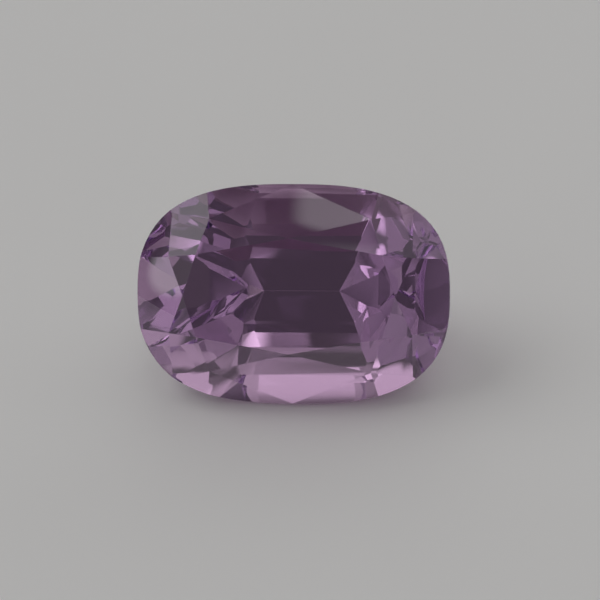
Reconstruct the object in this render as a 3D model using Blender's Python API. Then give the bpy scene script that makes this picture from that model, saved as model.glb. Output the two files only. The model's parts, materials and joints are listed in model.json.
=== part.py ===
"""A cut kunzite: one clear lilac stone, a long cushion with a brilliant crown and a stepped pavilion.

It is shaped the way a stone is cut. A block starts with the outline of the girdle, and every facet
is a flat plane that grinds away what lies outside it. Each plane is set by the way it faces, its
slope from the girdle and a point or an edge that it has to meet.

While it is cut, the girdle lies level at z = 0, the table faces +Z and the long axis is X. A faceted
stone can't stand on its keel, so the finished stone lies on one long facet of its south side.
Lengths are in metres.
"""

import math

import bmesh
import bpy
from mathutils import Matrix, Vector

MM = 0.001

# Outline of the girdle, seen from above: a superellipse, between an oval and a rectangle
LENGTH = 15.0 * MM
WIDTH = 10.5 * MM
ROUNDNESS = 2.7
GIRDLE_SIDES = 96
GIRDLE_HALF = 0.19 * MM

# Crown: its height over the girdle, the table, and the points where facets meet. Each point is
# given for the north-east quarter, as its distance east and north of the middle.
CROWN_HEIGHT = 1.75 * MM
TABLE_EAST = 5.04 * MM
TABLE_NORTH = 2.735 * MM
TABLE_CORNER = Vector((4.41, 1.96)) * MM
STAR_TIP_NORTH = Vector((3.85, 3.63)) * MM
STAR_TIP_EAST = Vector((5.80, 1.815)) * MM
CORNER_KITE_FOOT = Vector((5.88, 3.99)) * MM
SPLIT_NORTH = Vector((4.11, 4.83)) * MM
SPLIT_EAST = Vector((7.36, 1.72)) * MM

# Pavilion: the keel, then three rows of facets up to the girdle. A facet faces a way in degrees
# from east towards north, and slopes in degrees from the girdle plane. The stone was cut by hand,
# so its four corners aren't alike.
DEPTH = 7.03 * MM
KEEL_HALF = 1.86 * MM
KEEL_CENTRE = Vector((0.03, -0.07)) * MM
KEEL_ROW = {
    "north": (90, 43.3),
    "south": (270, 45.3),
    "east": (0, 38.3),
    "west": (180, 39.2),
    "north_east": (52.5, 39.3),
    "north_west": (123.5, 41.7),
    "south_west": (230.5, 41.2),
    "south_east": (300.5, 41.3),
}
# The middle row starts this far out from the keel
MIDDLE_ROW = {
    "north": (90, 48.5, 1.64 * MM),
    "south": (270, 50.5, 1.57 * MM),
    "east": (0, 47.4, 2.41 * MM),
    "west": (180, 52.5, 2.30 * MM),
    "north_east": (58, 45.9, 1.72 * MM),
    "north_west": (137.5, 49.6, 1.93 * MM),
    "south_west": (225, 50.9, 2.13 * MM),
    "south_east": (305, 48.0, 1.64 * MM),
}
# The last row touches the lower edge of the girdle. It has three facets round each corner.
GIRDLE_ROW = {
    "north": (90, 60.7),
    "south": (270, 57.3),
    "east": (0, 55.5),
    "west": (180, 51.7),
    "north_east": (35, 57.4),
    "north_east_long_side": (65.5, 64.3),
    "north_east_end": (16.5, 59.0),
    "north_west": (127.5, 57.1),
    "north_west_long_side": (113, 54.9),
    "north_west_end": (153.5, 56.6),
    "south_west": (232.5, 54.1),
    "south_west_long_side": (238, 54.9),
    "south_west_end": (204, 69.4),
    "south_east": (326.5, 56.1),
    "south_east_long_side": (296.5, 57.8),
    "south_east_end": (345.5, 60.2),
}
LYING_ON = "south"

# A plane that passes a point this near still meets it
MEET = 0.002 * MM
BLOCK_MARGIN = 1.0 * MM


def outline(turn):
    """The point of the girdle's outline in this direction from the middle."""
    east, north = math.cos(turn), math.sin(turn)
    reach = abs(2 * east / LENGTH) ** ROUNDNESS + abs(2 * north / WIDTH) ** ROUNDNESS
    return Vector((east, north)) * reach ** (-1 / ROUNDNESS)


def outline_points():
    """The corners of the girdle's flats, all the way round."""
    return [outline(math.tau * side / GIRDLE_SIDES) for side in range(GIRDLE_SIDES)]


def rough_block():
    """A prism with the outline of the girdle, taller than the finished stone."""
    block = bmesh.new()
    low = -DEPTH - BLOCK_MARGIN
    high = GIRDLE_HALF + CROWN_HEIGHT + BLOCK_MARGIN
    foot = block.faces.new([block.verts.new((*point, low)) for point in outline_points()])
    drawn = bmesh.ops.extrude_face_region(block, geom=[foot])["geom"]
    lifted = [item for item in drawn if isinstance(item, bmesh.types.BMVert)]
    bmesh.ops.translate(block, verts=lifted, vec=(0, 0, high - low))
    bmesh.ops.recalc_face_normals(block, faces=block.faces)
    return block


def cut(stone, point, outward):
    """Grinds away what lies outside a plane, and closes the flat that this leaves."""
    made = bmesh.ops.bisect_plane(
        stone,
        geom=stone.verts[:] + stone.edges[:] + stone.faces[:],
        dist=MEET,
        plane_co=point,
        plane_no=outward,
        clear_outer=True,
    )
    rim = [item for item in made["geom_cut"] if isinstance(item, bmesh.types.BMEdge)]
    bmesh.ops.edgeloop_fill(stone, edges=rim)


def crown_facets():
    """The crown's planes in the north-east quarter, each as a point and its outward normal."""
    table = GIRDLE_HALF + CROWN_HEIGHT

    def meeting(first, second, third):
        outward = (second - first).cross(third - first).normalized()
        return first, outward if outward.z > 0 else -outward

    def height_on(plane, place):
        point, outward = plane
        return point.z - (outward.xy @ (place - point.xy)) / outward.z

    table_north = Vector((0, TABLE_NORTH, table))
    table_east = Vector((TABLE_EAST, 0, table))
    table_corner = Vector((*TABLE_CORNER, table))
    foot_north = Vector((0, WIDTH / 2, GIRDLE_HALF))
    foot_east = Vector((LENGTH / 2, 0, GIRDLE_HALF))
    foot_corner = Vector((*CORNER_KITE_FOOT, GIRDLE_HALF))
    split_north = Vector((*SPLIT_NORTH, GIRDLE_HALF))
    split_east = Vector((*SPLIT_EAST, GIRDLE_HALF))

    kite_north = meeting(table_north, foot_north, table_north + Vector((MM, 0, 0)))
    kite_east = meeting(table_east, foot_east, table_east + Vector((0, MM, 0)))
    tip_north = Vector((*STAR_TIP_NORTH, height_on(kite_north, STAR_TIP_NORTH)))
    tip_east = Vector((*STAR_TIP_EAST, height_on(kite_east, STAR_TIP_EAST)))
    return [
        kite_north,
        kite_east,
        meeting(table_corner, tip_north, tip_east),
        meeting(table_north, table_corner, tip_north),
        meeting(table_east, table_corner, tip_east),
        meeting(tip_north, foot_north, split_north),
        meeting(tip_north, foot_corner, split_north),
        meeting(tip_east, foot_corner, split_east),
        meeting(tip_east, foot_east, split_east),
    ]


def cut_crown(stone):
    cut(stone, Vector((0, 0, GIRDLE_HALF + CROWN_HEIGHT)), Vector((0, 0, 1)))
    for east in (1, -1):
        for north in (1, -1):
            quarter = Vector((east, north, 1))
            for point, outward in crown_facets():
                cut(stone, point * quarter, outward * quarter)


def facing(way, slope):
    """The outward normal of a pavilion facet."""
    way, slope = math.radians(way), math.radians(slope)
    level = math.sin(slope)
    return Vector((level * math.cos(way), level * math.sin(way), -math.cos(slope)))


def keel_end(way):
    """The point of the keel that a facet facing this way meets."""
    side = 1 if math.cos(math.radians(way)) > 0 else -1
    return Vector((KEEL_CENTRE.x + side * KEEL_HALF, KEEL_CENTRE.y, -DEPTH))


def cut_pavilion(stone):
    for way, slope in KEEL_ROW.values():
        cut(stone, keel_end(way), facing(way, slope))
    for name, (way, slope, run) in MIDDLE_ROW.items():
        rise = run * math.tan(math.radians(KEEL_ROW[name][1]))
        out = Vector((math.cos(math.radians(way)), math.sin(math.radians(way)))) * run
        cut(stone, keel_end(way) + Vector((*out, rise)), facing(way, slope))
    for way, slope in GIRDLE_ROW.values():
        normal = facing(way, slope)
        touch = max(outline_points(), key=lambda point: point @ normal.xy)
        cut(stone, Vector((*touch, -GIRDLE_HALF)), normal)


def kunzite():
    """Clear pale lilac crystal."""
    material = bpy.data.materials.new("kunzite")
    material.use_nodes = True
    shader = material.node_tree.nodes["Principled BSDF"]
    shader.inputs["Base Color"].default_value = (0.78, 0.56, 0.78, 1)
    shader.inputs["Roughness"].default_value = 0.02
    shader.inputs["Metallic"].default_value = 0
    shader.inputs["IOR"].default_value = 1.66
    shader.inputs["Transmission Weight"].default_value = 1
    return material


def lay_down(stone):
    """Turns the stone onto the long facet that it lies on, with the middle of its box over the origin."""
    slope = math.radians(GIRDLE_ROW[LYING_ON][1])
    stone.rotation_euler.x = slope
    turned = Matrix.Rotation(slope, 3, "X")
    points = [turned @ vertex.co for vertex in stone.data.vertices]
    for axis in (0, 1):
        places = [point[axis] for point in points]
        stone.location[axis] = -(min(places) + max(places)) / 2
    stone.location.z = -min(point.z for point in points)


for old in list(bpy.data.objects):
    bpy.data.objects.remove(old)

shape = rough_block()
cut_crown(shape)
cut_pavilion(shape)
mesh = bpy.data.meshes.new("kunzite")
shape.to_mesh(mesh)
shape.free()
mesh.materials.append(kunzite())
gem = bpy.data.objects.new("kunzite", mesh)
bpy.context.collection.objects.link(gem)
lay_down(gem)
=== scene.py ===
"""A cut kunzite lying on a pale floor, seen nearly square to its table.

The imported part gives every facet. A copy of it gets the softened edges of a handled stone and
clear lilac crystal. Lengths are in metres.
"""

import json
import math

import bpy
from mathutils import Matrix, Vector


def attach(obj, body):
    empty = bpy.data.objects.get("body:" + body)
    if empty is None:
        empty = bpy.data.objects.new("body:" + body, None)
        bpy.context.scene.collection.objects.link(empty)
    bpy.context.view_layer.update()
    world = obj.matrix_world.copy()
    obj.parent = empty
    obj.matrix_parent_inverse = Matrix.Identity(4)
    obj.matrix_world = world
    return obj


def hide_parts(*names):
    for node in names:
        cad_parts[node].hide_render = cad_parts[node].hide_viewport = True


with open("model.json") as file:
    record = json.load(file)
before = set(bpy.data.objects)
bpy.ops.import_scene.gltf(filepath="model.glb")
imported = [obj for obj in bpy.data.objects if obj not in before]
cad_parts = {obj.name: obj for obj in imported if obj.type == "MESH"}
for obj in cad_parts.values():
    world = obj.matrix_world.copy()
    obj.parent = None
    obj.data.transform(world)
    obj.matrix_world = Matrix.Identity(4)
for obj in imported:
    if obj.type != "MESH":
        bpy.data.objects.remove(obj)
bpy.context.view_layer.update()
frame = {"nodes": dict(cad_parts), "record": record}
scene = bpy.context.scene
MM = 0.001

# The stone: one piece of clear lilac spodumene, sawn, ground and polished facet by facet on a lap.
# It lies on a long facet of its pavilion, so its table leans towards the viewer. The table's own
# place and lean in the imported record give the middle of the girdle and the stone's own upright.

CROWN_OVER_MIDDLE = (1.75 + 0.19) * MM
GIRDLE_HALF = 0.19 * MM

table = next(mount for mount in frame["record"]["mounts"] if mount["name"] == "table")
table_way = Vector(table["axis"]).normalized()
lean = math.atan2(-table_way.y, table_way.z)
leaning = Matrix.Rotation(lean, 3, "X")
middle = Vector(table["pos_m"]) - table_way * CROWN_OVER_MIDDLE

bpy.ops.object.select_all(action="DESELECT")
gem = frame["nodes"]["kunzite"].copy()
gem.data = gem.data.copy()
gem.name = gem.data.name = "cut_stone"
scene.collection.objects.link(gem)
bpy.context.view_layer.objects.active = gem
gem.select_set(True)

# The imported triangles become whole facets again: doubles merged, and flat neighbours joined.
SAME_POINT = 0.001 * MM
SAME_PLANE = math.radians(0.3)

bpy.ops.object.mode_set(mode="EDIT")
bpy.ops.mesh.select_all(action="SELECT")
bpy.ops.mesh.remove_doubles(threshold=SAME_POINT)
bpy.ops.mesh.dissolve_limited(angle_limit=SAME_PLANE)
bpy.ops.object.mode_set(mode="OBJECT")

# Every edge between facets is rounded a little by handling. The round is marked, because it has
# lost its polish.
EDGE_ROUND = 0.010 * MM
FACET_EDGE = math.radians(9)
SMOOTH_WITHIN = math.radians(8)

polished = bpy.data.materials.new("clear lilac kunzite")
gem.data.materials.clear()
gem.data.materials.append(polished)
gem.data.materials.append(bpy.data.materials.new("edge marker"))
edge_round = gem.modifiers.new("edge round", "BEVEL")
edge_round.width = EDGE_ROUND
edge_round.segments = 2
edge_round.limit_method = "ANGLE"
edge_round.angle_limit = FACET_EDGE
edge_round.material = 1
bpy.ops.object.modifier_apply(modifier=edge_round.name)
wear = gem.data.attributes.new("edge_wear", "FLOAT", "FACE")
for face in gem.data.polygons:
    wear.data[face.index].value = face.material_index
    face.material_index = 0
gem.data.materials.pop(index=1)
bpy.ops.object.shade_smooth_by_angle(angle=SMOOTH_WITHIN)

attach(gem, "root")
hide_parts("kunzite")

# Its crystal: light is tinted as it passes the skin and darkens with the way that it goes inside.
TINT = (0.635, 0.438, 0.588)
SOAK_DENSITY = 60.0
SOAK_COLOUR = (0.68, 0.53, 0.79)
BEND = 1.663

polished.use_nodes = True
nodes = polished.node_tree.nodes
links = polished.node_tree.links
glass = nodes["Principled BSDF"]
glass.inputs["Metallic"].default_value = 0
glass.inputs["Transmission Weight"].default_value = 1
glass.inputs["IOR"].default_value = BEND
glass.inputs["Base Color"].default_value = (*TINT, 1)
soak = nodes.new("ShaderNodeVolumeAbsorption")
soak.inputs["Color"].default_value = (*SOAK_COLOUR, 1)
soak.inputs["Density"].default_value = SOAK_DENSITY
links.new(soak.outputs["Volume"], nodes["Material Output"].inputs["Volume"])
glass.inputs["Roughness"].default_value = 0.0

# The floor: a pale matt board, wide enough that its far edge is out of sight. It lies a hair below
# the stone, so that light still gets in between them.

FLOOR_SIZE = 6.0
FLOOR_GAP = 0.03 * MM
BOARD = (0.84, 0.83, 0.82)

bpy.ops.object.select_all(action="DESELECT")
bpy.ops.mesh.primitive_plane_add(size=FLOOR_SIZE, location=(0, 0, -FLOOR_GAP))
floor = bpy.context.active_object
floor.name = "floor"
board = bpy.data.materials.new("pale board")
board.use_nodes = True
shader = board.node_tree.nodes["Principled BSDF"]
shader.inputs["Base Color"].default_value = (*BOARD, 1)
shader.inputs["Roughness"].default_value = 0.8
floor.data.materials.append(board)

# The room: a dim dome with soft round lamps in it. Each lamp is placed as seen from the stone, by
# degrees round from its right-hand end and degrees up from its girdle.

DOME = 0.10
LAMPS = [
    # round, up, half width of the even middle, half width where it ends, strength
    (88, -25, 10, 35, 0.55),
    (184, 45, 10, 35, 0.29),
    (88, 25, 6, 9, 1.40),
    (135, 15, 20, 26, 1.37),
    (71, 65, 12, 16, 0.56),
    (147, -35, 12, 16, 0.81),
    (37, -35, 20, 26, 0.71),
    (314, 55, 10, 35, 0.31),
    (20, 5, 12, 16, 0.51),
    (176, 15, 6, 9, 1.51),
    (260, 65, 6, 9, 1.35),
    (62, 15, 20, 26, 0.41),
    (110, -25, 20, 26, 0.27),
]

room = bpy.data.worlds.new("room")
scene.world = room
room.use_nodes = True
parts = room.node_tree.nodes
wires = room.node_tree.links
sky = parts["Background"]
look = parts.new("ShaderNodeTexCoord")
total = parts.new("ShaderNodeValue")
total.outputs[0].default_value = DOME
for turn, rise, inner, outer, strength in LAMPS:
    turn, rise = math.radians(turn), math.radians(rise)
    way = Vector((math.cos(rise) * math.cos(turn), math.cos(rise) * math.sin(turn), math.sin(rise)))
    nearness = parts.new("ShaderNodeVectorMath")
    nearness.operation = "DOT_PRODUCT"
    nearness.inputs[1].default_value = leaning @ way
    wires.new(look.outputs["Generated"], nearness.inputs[0])
    lamp = parts.new("ShaderNodeMapRange")
    lamp.interpolation_type = "SMOOTHSTEP"
    lamp.inputs["From Min"].default_value = math.cos(math.radians(outer))
    lamp.inputs["From Max"].default_value = math.cos(math.radians(inner))
    lamp.inputs["To Max"].default_value = strength
    wires.new(nearness.outputs["Value"], lamp.inputs["Value"])
    lit = parts.new("ShaderNodeMath")
    wires.new(lamp.outputs["Result"], lit.inputs[0])
    wires.new(total.outputs[0], lit.inputs[1])
    total = lit
wires.new(total.outputs[0], sky.inputs["Strength"])
sky.inputs["Color"].default_value = (1, 1, 1, 1)

# The camera: it looks nearly square on the table, a few degrees from the right and from above.

PIXEL = 15.0 * MM / 314
FRAME_SIDE = 600
AWAY = 2600 * PIXEL
FROM_RIGHT = math.radians(6.54)
FROM_ABOVE = math.radians(3.76)
AIM = Vector((7, -6, 0)) * PIXEL
SENSOR = 36

eye = middle + leaning @ (Vector((math.tan(FROM_RIGHT), math.tan(FROM_ABOVE), 1)) * AWAY)
aim = middle + leaning @ AIM
ahead = (aim - eye).normalized()
right = ahead.cross(leaning @ Vector((0, 1, 0))).normalized()
upward = right.cross(ahead)
lens = bpy.data.cameras.new("camera")
camera = bpy.data.objects.new("camera", lens)
scene.collection.objects.link(camera)
turned = Matrix((right, upward, -ahead)).transposed()
camera.matrix_world = Matrix.Translation(eye) @ turned.to_4x4()
lens.sensor_width = SENSOR
lens.lens = SENSOR / (FRAME_SIDE * PIXEL) * (aim - eye).length
lens.clip_start = 0.01
lens.clip_end = 20
scene.camera = camera

# Light is let bounce often enough to find its way out of a stone with this many facets.
scene.cycles.max_bounces = 32
scene.cycles.glossy_bounces = 24
scene.cycles.transmission_bounces = 24
scene.view_settings.view_transform = "Standard"
